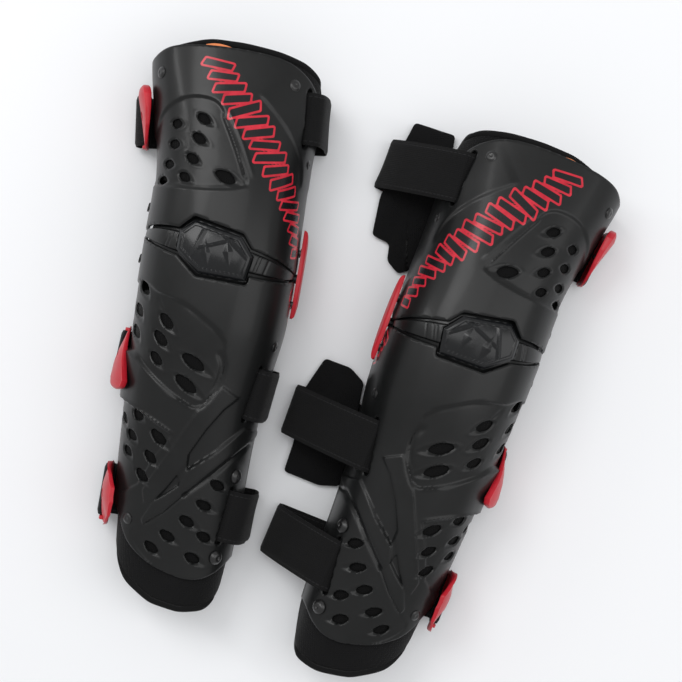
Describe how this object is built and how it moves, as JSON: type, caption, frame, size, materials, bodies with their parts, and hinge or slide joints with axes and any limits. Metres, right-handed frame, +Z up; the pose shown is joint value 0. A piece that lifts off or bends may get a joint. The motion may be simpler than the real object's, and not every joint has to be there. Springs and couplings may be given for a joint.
{
  "type": "pair of motorcycle knee and shin guards",
  "caption": "Pair of hinged motocross knee and shin guards: vented moulded shells, floating kneecap plate, foam liners, elastic straps with rubber clips.",
  "frame": {"origin": "on the floor under the middle of the pair's bounding box", "axes": "+Z up out of the shell fronts, +Y towards the thigh ends as the pair is laid out, +X from the guard whose clips face -X to the other one"},
  "size_m": [0.4545, 0.542, 0.1083],
  "materials": {
    "shell": "satin moulded, fine grain",
    "badge": "satin moulded",
    "liner": "knitted mesh over foam",
    "webbing": "woven elastic",
    "red_rubber": "satin",
    "steel": "zinc plated",
    "rivet": "satin black",
    "orange_tape": "woven tape"
  },
  "bodies": {
    "left_shin": {"left_shin_shell": "shell", "left_shin_liner": "liner", "left_calf_wing": "liner", "left_upper_calf_strap": "webbing", "left_lower_calf_strap": "webbing", "left_shin_hinge_arms": "steel", "left_shin_hinge_screws": "steel", "left_shin_rivets": "rivet", "left_shin_dome_rivets": "rivet", "left_calf_clip_posts": "rivet"},
    "left_thigh": {"left_thigh_shell": "shell", "left_thigh_liner": "liner", "left_size_tag": "orange_tape", "left_thigh_wing": "liner", "left_thigh_strap": "webbing", "left_thigh_hinge_arms": "steel", "left_thigh_hinge_screws": "steel", "left_thigh_rivets": "rivet", "left_thigh_clip_post": "rivet"},
    "left_patella": {"left_patella_plate": "shell", "left_patella_badge": "badge", "left_knee_pad": "liner", "left_hinge_cover": "red_rubber", "left_pivot_pins": "steel"},
    "left_thigh_clip_swing": {"left_thigh_clip": "red_rubber"},
    "left_upper_calf_clip_swing": {"left_upper_calf_clip": "red_rubber"},
    "left_lower_calf_clip_swing": {"left_lower_calf_clip": "red_rubber"},
    "right_shin": {"right_shin_shell": "shell", "right_shin_liner": "liner", "right_calf_wing": "liner", "right_upper_calf_strap": "webbing", "right_lower_calf_strap": "webbing", "right_shin_hinge_arms": "steel", "right_shin_hinge_screws": "steel", "right_shin_rivets": "rivet", "right_shin_dome_rivets": "rivet", "right_calf_clip_posts": "rivet"},
    "right_thigh": {"right_thigh_shell": "shell", "right_thigh_liner": "liner", "right_size_tag": "orange_tape", "right_thigh_wing": "liner", "right_thigh_strap": "webbing", "right_thigh_hinge_arms": "steel", "right_thigh_hinge_screws": "steel", "right_thigh_rivets": "rivet", "right_thigh_clip_post": "rivet"},
    "right_patella": {"right_patella_plate": "shell", "right_patella_badge": "badge", "right_knee_pad": "liner", "right_hinge_cover": "red_rubber", "right_pivot_pins": "steel"},
    "right_thigh_clip_swing": {"right_thigh_clip": "red_rubber"},
    "right_upper_calf_clip_swing": {"right_upper_calf_clip": "red_rubber"},
    "right_lower_calf_clip_swing": {"right_lower_calf_clip": "red_rubber"}
  },
  "joints": [
    {"name": "left_knee_hinge", "type": "hinge", "parent": "left_shin", "child": "left_thigh", "pos_m": [-0.11775, 0.08324, 0.034], "axis": [-0.9563, 0.2924, 0], "range_deg": [0, 60]},
    {"name": "left_patella_hinge", "type": "hinge", "parent": "left_shin", "child": "left_patella", "pos_m": [-0.11775, 0.08324, 0.034], "axis": [-0.9563, 0.2924, 0], "range_deg": [0, 30]},
    {"name": "left_thigh_clip_hinge", "type": "hinge", "parent": "left_thigh", "child": "left_thigh_clip_swing", "pos_m": [-0.18386, 0.20216, 0.019], "axis": [-0.0349, -0.9994, 0], "range_deg": [0, 40]},
    {"name": "left_upper_calf_clip_hinge", "type": "hinge", "parent": "left_shin", "child": "left_upper_calf_clip_swing", "pos_m": [-0.2048, -0.00249, 0.019], "axis": [-0.225, -0.9744, 0], "range_deg": [0, 40]},
    {"name": "left_lower_calf_clip_hinge", "type": "hinge", "parent": "left_shin", "child": "left_lower_calf_clip_swing", "pos_m": [-0.21841, -0.11892, 0.019], "axis": [-0.1736, -0.9848, 0], "range_deg": [0, 40]},
    {"name": "right_knee_hinge", "type": "hinge", "parent": "right_shin", "child": "right_thigh", "pos_m": [0.09025, 0.01114, 0.038], "axis": [-0.9655, 0.23, 0.1219], "range_deg": [0, 60]},
    {"name": "right_patella_hinge", "type": "hinge", "parent": "right_shin", "child": "right_patella", "pos_m": [0.09025, 0.01114, 0.038], "axis": [-0.9655, 0.23, 0.1219], "range_deg": [0, 30]},
    {"name": "right_thigh_clip_hinge", "type": "hinge", "parent": "right_thigh", "child": "right_thigh_clip_swing", "pos_m": [0.20496, 0.08085, 0.01117], "axis": [0.4737, 0.8801, -0.0315], "range_deg": [0, 40]},
    {"name": "right_upper_calf_clip_hinge", "type": "hinge", "parent": "right_shin", "child": "right_upper_calf_clip_swing", "pos_m": [0.11975, -0.10633, 0.01602], "axis": [0.2985, 0.9544, -0.0085], "range_deg": [0, 40]},
    {"name": "right_lower_calf_clip_hinge", "type": "hinge", "parent": "right_shin", "child": "right_lower_calf_clip_swing", "pos_m": [0.07272, -0.21368, 0.01858], "axis": [0.3477, 0.9375, -0.0149], "range_deg": [0, 40]},
    {"name": "right_guard_lift", "type": "slide", "parent": "left_shin", "child": "right_shin", "axis": [0, 0, 1], "range_m": [0, 0.3]}
  ],
  "couplings": [
    {"joint": "left_patella_hinge", "follows": "left_knee_hinge", "ratio": 0.5},
    {"joint": "right_patella_hinge", "follows": "right_knee_hinge", "ratio": 0.5}
  ]
}
